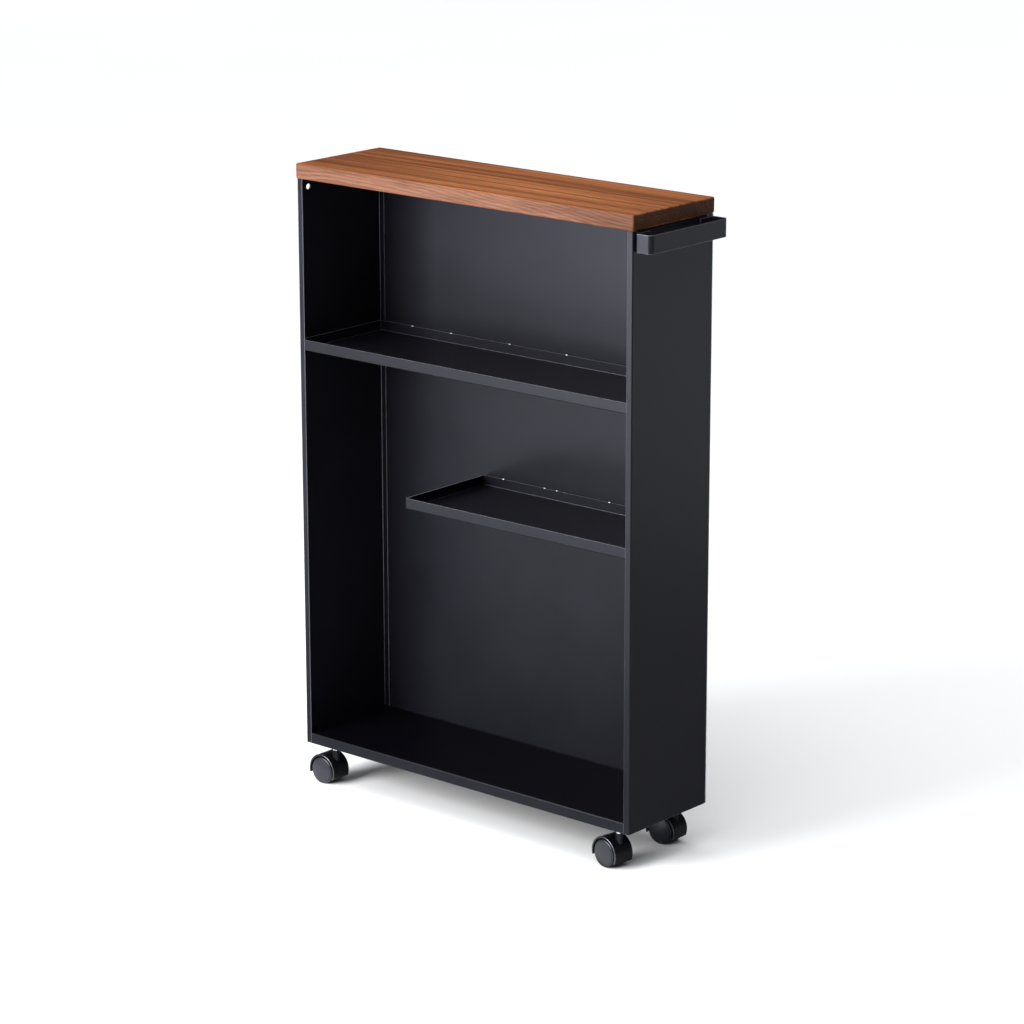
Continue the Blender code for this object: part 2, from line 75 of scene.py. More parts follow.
# Board and handle
BOARD_ROUNDING = 1.8 * MM
HANDLE_THICKNESS = 2.5 * MM
HANDLE_BEND = 5.5 * MM
HANDLE_FOOT_BEND = 3.5 * MM
HANDLE_FOOT = 22.0 * MM
HANDLE_TAP_RADIUS = 2.75 * MM
HANDLE_ROUNDING = 0.45 * MM

# Screws: their shank and head radii, and the rest as shares of those
BOARD_SCREW = (1.75 * MM, 3.8 * MM)
HANDLE_SCREW = (2.5 * MM, 4.6 * MM)
HEAD_HEIGHT_SHARE = 0.6
HEAD_RIM_SHARE = 0.35
HEAD_STEPS = 8
SCREW_PITCH_SHARE = 0.24
SCREW_THREAD_SHARE = 0.14
RECESS_LENGTH_SHARE = 1.15
RECESS_WIDTH_SHARE = 0.26
RECESS_DEPTH_SHARE = 1.1

# Walnut: where the tree's heart lies (m), how it drifts along the board, and how its rings wander (m)
HEART_Y = -0.115
HEART_Z = 0.600
HEART_SLOPE_Y = 0.10
HEART_SLOPE_Z = -0.170
RINGS_PER_METRE = 260.0
RING_WAVE = 0.034
RING_RIPPLE = 0.0045
PALE_PLACE = 0.03  # along the board, where its face is palest

# Tack welds on the trays' rear lips, from the carcass's left face
UPPER_WELDS = (49.0 * MM, 105.0 * MM, 188.0 * MM, 267.0 * MM)
LOWER_WELDS = (179.0 * MM, 237.0 * MM, 254.0 * MM, 326.0 * MM)
WELD_REACH = (1.5 * MM, 0.8 * MM, 0.6 * MM)  # along the lip, across it, and up
WELD_UNEVENNESS = 0.45
WELD_LUMPS = 1.9  # the lumps' fineness
WELD_SHIFT = 7.3  # between one bead's lumps and the next one's

# Wheels
WHEEL_GROOVE = 13.1 * MM  # radius of the fine groove round each wheel's disc
GROOVE_SLOPE = 0.1 * MM
GROOVE_FLOOR = 0.35 * MM
GROOVE_DEPTH = 0.9 * MM
WHEEL_DOME = 1.2 * MM
DOME_STEPS = 10
WHEEL_EDGE = 1.5 * MM
TREAD_DROP = 0.25 * MM  # from the disc's rim down to the tread's shoulder
RIM_WALL = 3.2 * MM
RIM_DEPTH = 1.6 * MM
RIM_DRAFT = 0.3 * MM
HUB_RADIUS = 6.6 * MM
WHEEL_SIDE_GAP = 0.35 * MM

# Hoods
HOOD_WALL = 2.0 * MM
HOOD_ROUNDING = 1.1 * MM
HOOD_INNER_CHAMFER = 0.3 * MM
HOOD_LIP_ROUNDING = 0.5 * MM
HOOD_LIP_BACK = radians(16)
HOOD_LIP_FRONT = radians(25)
HOOD_STEPS = 72
BOSS_RADIUS = 4.0 * MM
BOSS_RISE = 3.6 * MM  # how far the boss stands above its CAD solid, as a real caster's does
BOSS_ROUNDING = 0.5 * MM
BOSS_MARGIN = 0.1 * MM
RIM_FACING = (0.2, 0.98)  # how far the rounded rims' faces point along the axle
CORE_WIDTH = 10.5 * MM
AXLE_BOSS_RADIUS = 6.0 * MM
AXLE_BOSS_SETBACK = 0.4 * MM

# Axles, stems and nuts
AXLE_RADIUS = 2.0 * MM
AXLE_HOLD = 6.0 * MM  # how far the axle goes into each wheel
AXLE_CHAMFER = 0.4 * MM
STEM_RADIUS = 3.1 * MM  # a little slimmer than its CAD solid's
COLLAR_RADIUS = 6.0 * MM
STEM_COLLAR = 2.0 * MM
STEM_CHAMFER = 0.3 * MM
THREAD_RADIUS = 4.0 * MM
THREAD_PITCH = 1.25 * MM
THREAD_DEPTH = 0.35 * MM
NUT_ACROSS_FLATS = 13.0 * MM
NUT_CHAMFER_START = 0.2 * MM  # inside the flats
NUT_CORNER_SLOPE = 0.55
RUNNING_GAP = 0.25 * MM
ROUND_STEPS = 96

# Camera: where it stands from the carcass's lower front left corner, and where it looks
CAMERA_OFFSET = Vector((2.6527, -2.7391, 1.3101))
CAMERA_AZIMUTH = radians(40.67)
CAMERA_DIP = radians(15.39)
CAMERA_ROLL = radians(-0.095)
CAMERA_LENS = 127.97

# Studio, in metres and watts: the surroundings are dim, but bright overhead and a little to the front
BRIGHT_SIDE = Vector((0.06, -0.22, 0.95))
BRIGHT_EDGE = (0.55, 0.95)  # where the brightness starts and is full, as cosines from the bright side
DIM_STRENGTH = 0.07
BRIGHT_STRENGTH = 2.75
SURROUNDINGS_COLOUR = (0.97, 0.985, 1.0, 1.0)
SOFTBOX_PLACE = (-0.54, -1.60, 0.80)
SOFTBOX_AIM = (0.2, 0.0, 0.45)
SOFTBOX_SIZE = (1.0, 1.2)
SOFTBOX_POWER = 64.0
FLOOR_REACH = 40.0
FLAG_HEIGHT = 0.5 * MM
FLAGS = {
    "near_flag": ((-0.20, -0.06), (1.15, 1.05)),
    "front_flag": ((-0.85, -0.70), (0.15, -0.13)),
    "right_flag": ((1.15, -3.0), (4.0, 0.8)),
}

# The carcass, from the frame
SIDE_LOW, SIDE_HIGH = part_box("left_side_panel")
LEFT, FRONT, BOTTOM = SIDE_LOW
SIDE_REAR, TOP = SIDE_HIGH.y, SIDE_HIGH.z
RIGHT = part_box("right_side_panel")[1].x
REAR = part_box("back_panel")[1].y

# The casters, from the frame: the front left one stands square, so its boxes give every caster's sizes
JOINTS = {joint["name"]: joint for joint in frame["joints"]}
LEFT_STEM = JOINTS["swivel_turn_front_left"]["pos_m"][0]
HOOD_LOW, HOOD_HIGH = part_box("caster_hood_front_left")
WHEEL_LOW, WHEEL_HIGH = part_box("caster_wheel_front_left_near")
WHEEL_WIDTH = WHEEL_HIGH.y - WHEEL_LOW.y


# --- Mesh helpers -----------------------------------------------------------------------------------------


def new_object(name, bm, *materials):
    """A mesh object from a bmesh, at the origin, with these materials in its slots."""
    mesh = bpy.data.meshes.new(name)
    bm.to_mesh(mesh)
    bm.free()
    for material in materials:
        mesh.materials.append(material)
    obj = bpy.data.objects.new(name, mesh)
    bpy.context.scene.collection.objects.link(obj)
    return obj


def modify(obj, kind, **settings):
    """Adds a modifier with these settings."""
    modifier = obj.modifiers.new(kind.lower(), kind)
    for name, value in settings.items():
        setattr(modifier, name, value)
    return modifier


def bake(obj):
    """Applies an object's modifiers for good."""
    graph = bpy.context.evaluated_depsgraph_get()
    mesh = bpy.data.meshes.new_from_object(obj.evaluated_get(graph))
    obj.modifiers.clear()
    obj.data = mesh


def carve(obj, shapes, operation="DIFFERENCE"):
    """Cuts closed shapes from an object, or joins them to it. Each shape adds itself to a bmesh."""
    tools = []
    for shape in shapes:
        bm = bmesh.new()
        shape(bm)
        tool = new_object("tool", bm, obj.data.materials[0])
        tool.matrix_world = obj.matrix_world
        tools.append(tool)
        modify(obj, "BOOLEAN", operation=operation, object=tool)
    bpy.context.view_layer.update()
    bake(obj)
    for tool in tools:
        bpy.data.objects.remove(tool)


def round_edges(obj, width, segments, slot=-1):
    """Rounds an object's sharp edges. The new faces can have a material slot of their own."""
    modify(
        obj, "BEVEL", width=width, segments=segments, limit_method="ANGLE", angle_limit=SHARP_CORNER,
        material=slot,
    )


def finish_shading(obj, angle=40):
    """Applies an object's modifiers and shades it smooth, with its flat faces flat."""
    bake(obj)
    obj.data.shade_smooth()
    obj.data.set_sharp_from_angle(angle=radians(angle))
    modify(obj, "WEIGHTED_NORMAL", keep_sharp=True)
    bake(obj)


def cylinder(centre, axis, radius, length, sides=48):
    """A shape: a cylinder centred at a point and lying along X, Y or Z."""
    turn = {"X": Matrix.Rotation(pi / 2, 4, "Y"), "Y": Matrix.Rotation(-pi / 2, 4, "X"), "Z": Matrix()}[axis]
    place = Matrix.Translation(centre) @ turn

    def add(bm):
        bmesh.ops.create_cone(
            bm, cap_ends=True, segments=sides, radius1=radius, radius2=radius, depth=length, matrix=place
        )

    return add


def block(centre, size):
    """A shape: a box of a size, centred at a point."""

    def add(bm):
        made = bmesh.ops.create_cube(bm, size=1.0)["verts"]
        bmesh.ops.scale(bm, vec=size, verts=made)
        bmesh.ops.translate(bm, vec=centre, verts=made)

    return add


def lathe(profile, steps=ROUND_STEPS):
    """A shape: (radius, height) pairs turned about Z, closed at both ends on the axis."""

    def add(bm):
        rings = []
        for radius, height in profile:
            if radius <= 0:
                rings.append([bm.verts.new((0, 0, height))])
                continue
            angles = [2 * pi * i / steps for i in range(steps)]
            rings.append([bm.verts.new((radius * cos(a), radius * sin(a), height)) for a in angles])
        for upper, lower in zip(rings, rings[1:]):
            for i in range(steps):
                j = (i + 1) % steps
                if len(upper) == 1:
                    bm.faces.new((upper[0], lower[i], lower[j]))
                elif len(lower) == 1:
                    bm.faces.new((upper[j], upper[i], lower[0]))
                else:
                    bm.faces.new((upper[i], lower[i], lower[j], upper[j]))
        bmesh.ops.recalc_face_normals(bm, faces=bm.faces)

    return add


def arc(centre, radius, start, end, segments):
    """Points on a circle from one angle to another, both ends included."""
    angles = [start + (end - start) * i / segments for i in range(segments + 1)]
    return [(centre[0] + radius * cos(a), centre[1] + radius * sin(a)) for a in angles]


def stand_in(obj, body, node):
    """Puts a finished piece on its CAD body, in place of its CAD node."""
    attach(obj, body)
    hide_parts(node)
    return obj


# --- Materials --------------------------------------------------------------------------------------------


class Look:
    """A Principled material with its colour, roughness and bump from nodes on the object's coordinates."""

    def __init__(self, name, **constants):
        self.material = bpy.data.materials.new(name)
        self.material.use_nodes = True
        self.tree = self.material.node_tree
        self.shader = self.tree.nodes["Principled BSDF"]
        for socket, value in constants.items():
            self.shader.inputs[socket.replace("_", " ")].default_value = value
        self.place = self.tree.nodes.new("ShaderNodeTexCoord").outputs["Object"]

    def feed(self, socket, value):
        """Links a node's output to a socket, or sets the socket to a constant."""
        if isinstance(value, bpy.types.NodeSocket):
            self.tree.links.new(value, socket)
        else:
            socket.default_value = value

    def stretched(self, factors, shift=(0, 0, 0)):
        """The object's coordinates times a factor each way, then shifted."""
        node = self.tree.nodes.new("ShaderNodeMapping")
        self.feed(node.inputs["Vector"], self.place)
        node.inputs["Location"].default_value = shift
        node.inputs["Scale"].default_value = factors
        return node.outputs["Vector"]

    def noise(self, scale, detail=3.0, roughness=0.5, where=None):
        node = self.tree.nodes.new("ShaderNodeTexNoise")
        self.feed(node.inputs["Vector"], where or self.place)
        node.inputs["Scale"].default_value = scale
        node.inputs["Detail"].default_value = detail
        node.inputs["Roughness"].default_value = roughness
        return node.outputs["Fac"]

    def component(self, vector, axis):
        """A vector's X, Y or Z."""
        node = self.tree.nodes.new("ShaderNodeSeparateXYZ")
        self.feed(node.inputs["Vector"], vector)
        return node.outputs[axis]

    def position(self, axis):
        """The object's own coordinate along one axis, in metres."""
        return self.component(self.place, axis)

    def facing(self, axis):
        """How far the surface faces along one of the object's axes, -1 to 1."""
        return self.component(self.place.node.outputs["Normal"], axis)

    def maths(self, operation, a, b=0.0, c=0.0):
        node = self.tree.nodes.new("ShaderNodeMath")
        node.operation = operation
        for socket, value in zip(node.inputs, (a, b, c)):
            self.feed(socket, value)
        return node.outputs["Value"]

    def blend(self, *parts):
        """The sum of values, each times its share."""
        total = 0.0
        for value, share in parts:
            total = self.maths("MULTIPLY_ADD", value, share, total)
        return total

    def between(self, value, low, high, out_low=0.0, out_high=1.0):
        """A value's stretch from low to high, mapped to another."""
        node = self.tree.nodes.new("ShaderNodeMapRange")
        self.feed(node.inputs["Value"], value)
        limits = {"From Min": low, "From Max": high, "To Min": out_low, "To Max": out_high}
        for name, limit in limits.items():
            node.inputs[name].default_value = limit
        return node.outputs["Result"]

    def ramp(self, value, stops):
        """Colours at places along 0 to 1."""
        node = self.tree.nodes.new("ShaderNodeValToRGB")
        self.feed(node.inputs["Fac"], value)
        elements = node.color_ramp.elements
        while len(elements) < len(stops):
            elements.new(0.5)
        for element, (position, colour) in zip(elements, stops):
            element.position = position
            element.color = (*colour, 1.0)
        return node.outputs["Color"]

    def mix(self, factor, a, b):
        """Colour a with a share of colour b over it."""
        node = self.tree.nodes.new("ShaderNodeMix")
        node.data_type = "RGBA"
        self.feed(node.inputs["Factor"], factor)
        for name, value in (("A", a), ("B", b)):
            socket = next(s for s in node.inputs if s.name == name and s.type == "RGBA")
            self.feed(socket, value if isinstance(value, bpy.types.NodeSocket) else (*value, 1.0))
        return next(s for s in node.outputs if s.type == "RGBA")

    def finish(self, colour, roughness, height=None, depth=0.0):
        """Wires the colour, the roughness and, with a depth in metres, the bump."""
        self.feed(self.shader.inputs["Base Color"], colour)
        self.feed(self.shader.inputs["Roughness"], roughness)
        if height is not None:
            bump = self.tree.nodes.new("ShaderNodeBump")
            bump.inputs["Distance"].default_value = depth
            self.feed(bump.inputs["Height"], height)
            self.feed(self.shader.inputs["Normal"], bump.outputs["Normal"])
        return self.material


def powder_coat(name, dark, light, roughness, gloss):
    """Fine-textured matte powder coat: orange peel, a finer grain, and faint cloudiness."""
    look = Look(name, Specular_IOR_Level=gloss, Specular_Tint=(0.83, 0.855, 1.0, 1.0))
    cloud = look.noise(scale=14.0, detail=4.0, roughness=0.55)
    peel = look.noise(scale=1100.0, detail=2.0, roughness=0.45)
    grain = look.noise(scale=3600.0, detail=1.0)
    speck = look.between(grain, 0.35, 0.72)
    colour = look.ramp(look.blend((cloud, 0.55), (speck, 0.45)), [(0.15, dark), (0.85, light)])
    shine = look.between(look.blend((cloud, 0.5), (peel, 0.5)), 0.3, 0.7, *roughness)
    return look.finish(colour, shine, height=look.blend((peel, 1.0), (grain, 0.35)), depth=0.06 * MM)


def streaks(look, along, across, shift=(0, 0, 0), low=0.36, high=0.64, detail=2.0):
    """Streaks along the board, by how often each metre they change along it and across it."""
    where = look.stretched((along, across, across), shift)
    return look.between(look.noise(1.0, detail, roughness=0.55, where=where), low, high)


def growth_rings(look):
    """The share of late wood, which builds up across each ring.

    The heart lies in front of the board and below it, and drops away along it, so rings slant across the
    board's face."""
    x, y, z = (look.position(axis) for axis in "XYZ")
    behind = look.maths("SUBTRACT", y, look.maths("MULTIPLY_ADD", x, HEART_SLOPE_Y, HEART_Y))
    above = look.maths("SUBTRACT", z, look.maths("MULTIPLY_ADD", x, HEART_SLOPE_Z, HEART_Z))
    squared = look.maths("MULTIPLY_ADD", behind, behind, look.maths("MULTIPLY", above, above))
    wave = streaks(look, 3.2, 22.0, low=0.0, high=1.0)
    ripple = streaks(look, 11.0, 60.0, shift=(4.0, 1.0, 2.0), low=0.0, high=1.0)
    bent = look.maths("MULTIPLY_ADD", wave, RING_WAVE, look.maths("SQRT", squared))
    bent = look.maths("MULTIPLY_ADD", ripple, RING_RIPPLE, bent)
    ring = look.maths("FRACT", look.maths("MULTIPLY", bent, RINGS_PER_METRE))
    return look.maths("POWER", ring, 2.0)


def walnut():
    """Oiled walnut: growth rings that run along the board, fine fibres, pores and slow changes of tone.

    Its face, its front edge and its end grain each have their own grain; the front edge's and the end grain's
    tones are also painted darker, as shade."""
    look = Look("walnut", Specular_IOR_Level=0.06)
    late_wood = growth_rings(look)
    fibre = streaks(look, 14.0, 520.0, detail=4.0)
    fine = streaks(look, 45.0, 1500.0, shift=(3.0, 0.0, 1.0), detail=3.0)

    from_pale_place = look.maths("ABSOLUTE", look.maths("ADD", look.position("X"), -PALE_PLACE))
    face = look.blend(
        (streaks(look, 1.1, 17.0, shift=(7.0, 3.0, 5.0)), 0.22),
        (streaks(look, 1.5, 62.0, shift=(2.0, 9.0, 4.0)), 0.22),
        (streaks(look, 2.0, 150.0, shift=(5.0, 2.0, 8.0), low=0.40, high=0.60), 0.26),
        (late_wood, 0.10),
        (fibre, 0.10),
        (fine, 0.06),
        (look.between(from_pale_place, 0.04, 0.24), 0.16),
    )
    edge = look.blend(
        (streaks(look, 4.0, 40.0, shift=(1.0, 4.0, 6.0)), 0.32),
        (late_wood, 0.25),
        (fibre, 0.20),
        (fine, 0.14),
    )
    end = look.blend((fibre, 0.5), (late_wood, 0.5))
    face_colour = look.ramp(face, [
        (0.18, (0.420, 0.166, 0.066)), (0.40, (0.300, 0.106, 0.039)), (0.62, (0.186, 0.062, 0.024)),
        (0.90, (0.085, 0.027, 0.012)),
    ])
    edge_colour_with_painted_shade = look.ramp(edge, [
        (0.15, (0.186, 0.088, 0.056)), (0.42, (0.122, 0.054, 0.033)), (0.80, (0.052, 0.020, 0.012)),
    ])
    end_colour_with_painted_shade = look.ramp(end, [(0.2, (0.046, 0.021, 0.011)), (0.8, (0.017, 0.007, 0.004))])

    # The front edge and the end grain are darker copies of the face tones: painted shade on top of their own
    # grain
    forward = look.maths("MAXIMUM", look.maths("MULTIPLY", look.facing("Y"), -1.0), 0.0)
    endward = look.maths("ABSOLUTE", look.facing("X"))
    colour = look.mix(look.maths("POWER", forward, 4.0), face_colour, edge_colour_with_painted_shade)
    end_share = look.maths("MULTIPLY", look.maths("POWER", endward, 6.0), 0.92)
    colour = look.mix(end_share, colour, end_colour_with_painted_shade)

    pore_places = look.stretched((70.0, 2300.0, 2300.0))
    pores = look.between(look.noise(1.0, detail=2.0, where=pore_places), 0.60, 0.72)
    colour = look.mix(look.maths("MULTIPLY", pores, 0.62), colour, (0.045, 0.016, 0.008))
    height = look.blend((fibre, 1.0), (fine, 1.0), (pores, -1.2))
    return look.finish(colour, look.between(fibre, 0.0, 1.0, 0.46, 0.60), height, depth=0.05 * MM)


def nylon(name, dark, light, roughness, gloss):
    """Satin moulded plastic with a fine spark-eroded texture."""
    look = Look(name, Specular_IOR_Level=gloss, Specular_Tint=(0.86, 0.885, 1.0, 1.0))
    cloud = look.noise(scale=90.0, detail=3.0)
    texture = look.noise(scale=2600.0, detail=2.0)
    colour = look.ramp(cloud, [(0.3, dark), (0.7, light)])
    shine = look.between(look.blend((cloud, 0.6), (texture, 0.4)), 0.3, 0.7, *roughness)
    return look.finish(colour, shine, texture, depth=0.03 * MM)


def plated(name, dark, light, roughness, marks_per_metre):
    """Plated steel, with turning marks about the piece's own axis and slight clouding."""
    look = Look(name, Metallic=1.0)
    cloud = look.noise(scale=160.0, detail=4.0, roughness=0.6)
    marks = look.noise(1.0, detail=2.0, where=look.stretched((40.0, 40.0, marks_per_metre)))
    colour = look.ramp(cloud, [(0.3, dark), (0.75, light)])
    shine = look.between(look.blend((cloud, 0.5), (marks, 0.5)), 0.3, 0.7, *roughness)
    return look.finish(colour, shine, marks, depth=0.01 * MM)


def weld_metal_painted_glint():
    """Weld spatter in pale grey metal; the paleness is a painted glint where the beads catch the light."""
    look = Look("weld_metal_painted_glint", Metallic=0.4)
    cloud = look.noise(scale=1500.0, detail=3.0, roughness=0.6)
    colour = look.ramp(cloud, [(0.35, (0.30, 0.30, 0.32)), (0.60, (0.85, 0.86, 0.90))])
    return look.finish(colour, look.between(cloud, 0.3, 0.7, 0.45, 0.25), cloud, depth=0.1 * MM)


def floor_finish():
    """Plain pale studio floor."""
    look = Look("studio_floor", Specular_IOR_Level=0.2)
    tone = look.noise(scale=0.8, detail=2.0)
    colour = look.ramp(tone, [(0.3, (0.88, 0.88, 0.885)), (0.7, (0.90, 0.90, 0.905))])
    return look.finish(colour, look.between(tone, 0.3, 0.7, 0.7, 0.8))


def flag_felt():
    """Grey felt."""
    look = Look("flag_felt", Specular_IOR_Level=0.0)
    nap = look.noise(scale=40.0, detail=2.0)
    colour = look.ramp(nap, [(0.3, (0.24, 0.24, 0.24)), (0.7, (0.28, 0.28, 0.28))])
    return look.finish(colour, look.between(nap, 0.3, 0.7, 0.9, 1.0))


# Black powder coat: on flat faces; a darker, duller copy on the base's floor as painted shade; a lighter,
# glossier copy on tight bends and a much lighter one on cut edges, both painted highlights
COAT = powder_coat("black_coat", (0.0036, 0.0034, 0.0055), (0.0078, 0.0076, 0.0112), (0.31, 0.39), 0.20)
COAT_PAINTED_SHADE = powder_coat(
    "black_coat_painted_shade", (0.0010, 0.0008, 0.0016), (0.0024, 0.0020, 0.0036), (0.34, 0.42), 0.05
)
COAT_BEND_HIGHLIGHT = powder_coat("black_coat_bend", (0.040, 0.040, 0.050), (0.075, 0.075, 0.092), (0.22, 0.32), 1.0)
COAT_EDGE_HIGHLIGHT = powder_coat("black_coat_edge", (0.120, 0.120, 0.136), (0.260, 0.262, 0.290), (0.24, 0.36), 1.0)
WALNUT = walnut()
HOOD_NYLON = nylon("hood_nylon", (0.0032, 0.0032, 0.0044), (0.0062, 0.0062, 0.0082), (0.24, 0.33), 0.24)
# Hood rims: glossier nylon, painted lighter as a highlight
HOOD_RIM_HIGHLIGHT = nylon("hood_nylon_rim", (0.020, 0.020, 0.025), (0.034, 0.034, 0.041), (0.22, 0.30), 0.9)
WHEEL_NYLON = nylon("wheel_nylon", (0.006, 0.006, 0.009), (0.011, 0.011, 0.015), (0.27, 0.36), 0.55)
CHROME = plated("chrome_plate", (0.78, 0.80, 0.85), (0.90, 0.92, 0.96), (0.14, 0.24), 900.0)
ZINC = plated("zinc_plate", (0.46, 0.47, 0.50), (0.62, 0.62, 0.62), (0.26, 0.42), 1400.0)
WELD_PAINTED_GLINT = weld_metal_painted_glint()


# --- Carcass ----------------------------------------------------------------------------------------------

# A sheet's material slots: outer faces, then outer bends with the inner faces, inner bends with a lighter coat
# as a painted highlight, and cut edges with a much lighter coat as a painted highlight
SHEET_FINISHES = (COAT, COAT, COAT_BEND_HIGHLIGHT, COAT_EDGE_HIGHLIGHT)
OUTER_BEND = 1
CUT_EDGE = 3

# The edges that fold, by their number along a panel's outline or a floor's plan
PANEL_FRONT, PANEL_TOP, PANEL_REAR = 0, 5, 10
FLOOR_SIDES = (0, 3, 4, 5)  # front, right, rear, left

HANDLE_SCREWS = ("handle_screw_front", "handle_screw_rear")


def folded_sheet(name, node, outline, folds, lip_direction, holes=()):
    """Sheet metal from its outer faces: a flat outline, some of whose edges fold over by a width.

    folds maps an edge's number to its lip's width. Neighbouring lips of one width join at their corner."""
    bm = bmesh.new()
    corners = [bm.verts.new(point) for point in outline]
    web = bm.faces.new(corners)
    web.normal_update()
    lip = Vector(lip_direction)
    outward = web.normal.dot(lip) < 0  # whether the web's face already points away from its lips
    if not outward:
        web.normal_flip()
    raised = {}
    for edge, width in folds.items():
        ends = (edge, (edge + 1) % len(corners))
        for end in ends:
            if (end, width) not in raised:
                raised[end, width] = bm.verts.new(corners[end].co + lip * width)
        near, far = ends if outward else ends[::-1]
        bm.faces.new([corners[far], corners[near], raised[near, width], raised[far, width]])
    weights = bm.edges.layers.float.new("bevel_weight_edge")
    for edge in bm.edges:
        edge[weights] = float(len(edge.link_faces) == 2)
    obj = new_object(name, bm, *SHEET_FINISHES)
    modify(
        obj, "BEVEL", limit_method="WEIGHT", width=BEND_RADIUS, segments=BEND_SEGMENTS, material=OUTER_BEND
    )
    modify(
        obj, "SOLIDIFY", thickness=SHEET, offset=-1, use_even_offset=True, material_offset=1,
        material_offset_rim=CUT_EDGE,
    )
    if holes:
        carve(obj, holes)
    # The rounded cut edges take the cut-edge coat, a painted highlight
    round_edges(obj, EDGE_ROUNDING, segments=2, slot=CUT_EDGE)
    finish_shading(obj)
    return stand_in(obj, "cart", node)


def paint_floor_shade(sheet):
    """The base's upward faces take a darker, duller copy of the coat, as painted shade inside the carcass."""
    sheet.data.materials.append(COAT_PAINTED_SHADE)
    shade_slot = len(sheet.data.materials) - 1
    for face in sheet.data.polygons:
        points_up = face.normal.z > 0.98
        if points_up and face.material_index == 0:
            face.material_index = shade_slot


def flanged_edge(start, end, setback):
    """(place along it, depth below it) of a panel's top edge, with a relief at each end of its flange."""
    edge = []
    for place, inward in ((start, 1), (end, -1)):
        stretch = [
            (place, 0.0),
            (place + inward * (setback - RELIEF_WIDTH), 0.0),
            (place + inward * (setback - RELIEF_WIDTH), RELIEF_DEPTH),
            (place + inward * setback, RELIEF_DEPTH),
            (place + inward * setback, 0.0),
        ]
        edge += stretch[::inward]
    return edge


def middle_of(node):
    low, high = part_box(node)
    return (low + high) / 2


def flange_holes(inside):
    """Holes for the board's screws that pass through a top flange, where inside says so."""
    screws = [node for node in sorted(frame["nodes"]) if node.startswith("board_screw")]
    places = [middle_of(screw) for screw in screws]
    height = TOP - SHEET / 2
    return [cylinder((p.x, p.y, height), "Z", FLANGE_HOLE_RADIUS, 4 * SHEET) for p in places if inside(p)]


def coat_top_edge(sheet):
    """The board covers the top edge, so its bends and cut faces take the plain coat, without the painted
    highlights.
    """
    for face in sheet.data.polygons:
        if face.center.z > TOP - RELIEF_DEPTH - SHEET:
            face.material_index = min(face.material_index, OUTER_BEND)


def add_side_panel(name, node, outer_x, inward):
    """Full-height side: front and rear returns, a top flange under the board, and the handle's two holes."""
    edge = flanged_edge(FRONT, SIDE_REAR, FLANGE_SETBACK)
    outline = [(outer_x, FRONT, BOTTOM)] + [(outer_x, y, TOP - drop) for y, drop in edge]
    outline.append((outer_x, SIDE_REAR, BOTTOM))
    holes = flange_holes(lambda p: abs(p.x - outer_x) < SIDE_TOP_FLANGE)
    for screw in HANDLE_SCREWS:
        at = middle_of(screw)
        at.x = outer_x + inward * SHEET / 2
        holes.append(cylinder(at, "X", SIDE_HOLE_RADIUS, 4 * SHEET))
    folds = {PANEL_FRONT: FRONT_RETURN, PANEL_TOP: SIDE_TOP_FLANGE, PANEL_REAR: REAR_RETURN}
    coat_top_edge(folded_sheet(name, node, outline, folds, (inward, 0, 0), holes))


def add_back_panel():
    """Flat rear sheet behind the side panels' rear returns, with a top flange under the board."""
    edge = flanged_edge(LEFT, RIGHT, SIDE_TOP_FLANGE + RELIEF_WIDTH + GAP)
    outline = [(LEFT, REAR, BOTTOM)] + [(x, REAR, TOP - drop) for x, drop in edge]
    outline.append((RIGHT, REAR, BOTTOM))
    holes = flange_holes(lambda p: REAR - p.y < BACK_TOP_FLANGE)
    folds = {PANEL_TOP: BACK_TOP_FLANGE}
    coat_top_edge(folded_sheet("rear_sheet", "back_panel", outline, folds, (0, -1, 0), holes))


def add_floor_panel(name, node, lip_up, free_left=False):
    """A tray or the base: a floor with lips, whose front edge fits between the side panels' front returns.

    A floor with a free left end stops short of the left panel."""
    low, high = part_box(node)
    behind = FRONT + SHEET + GAP
    slot_left, slot_right = LEFT + FRONT_RETURN + GAP, RIGHT - FRONT_RETURN - GAP
    front_left = low.x if free_left else slot_left
    plan = [(front_left, low.y), (slot_right, low.y), (slot_right, behind)]
    plan += [(high.x, behind), (high.x, high.y), (low.x, high.y)]
    if not free_left:
        plan += [(low.x, behind), (slot_left, behind)]
    height = low.z if lip_up else high.z
    outline = [(x, y, height) for x, y in plan]
    lips = {side: high.z - low.z for side in FLOOR_SIDES}
    return folded_sheet(name, node, outline, lips, (0, 0, 1 if lip_up else -1))


def add_tack_welds(name, node, places):
    """Small uneven beads where a tray's rear lip is tacked to the sheet behind it."""
    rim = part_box(node)[1]
    bm = bmesh.new()
    for number, place in enumerate(places):
        centre = Vector((LEFT + place, rim.y - SHEET / 2, rim.z))
        own_lumps = Vector((number * WELD_SHIFT, 0, 0))
        for vert in bmesh.ops.create_icosphere(bm, subdivisions=3, radius=1.0)["verts"]:
            swell = 1.0 + WELD_UNEVENNESS * noise.noise(vert.co * WELD_LUMPS + own_lumps)
            reach = Vector([part * most for part, most in zip(vert.co, WELD_REACH)])
            vert.co = centre + reach * swell
    # The beads' pale metal is a painted glint
    welds = new_object(name, bm, WELD_PAINTED_GLINT)
    welds.data.shade_smooth()
    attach(welds, "cart")


# --- Board and handle -------------------------------------------------------------------------------------


def add_board():
    """Solid walnut top with softened edges."""
    low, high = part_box("top_board")
    bm = bmesh.new()
    block((low + high) / 2, high - low)(bm)
    board = new_object("walnut_board", bm, WALNUT)
    round_edges(board, BOARD_ROUNDING, segments=6)
    finish_shading(board)
    stand_in(board, "cart", "top_board")


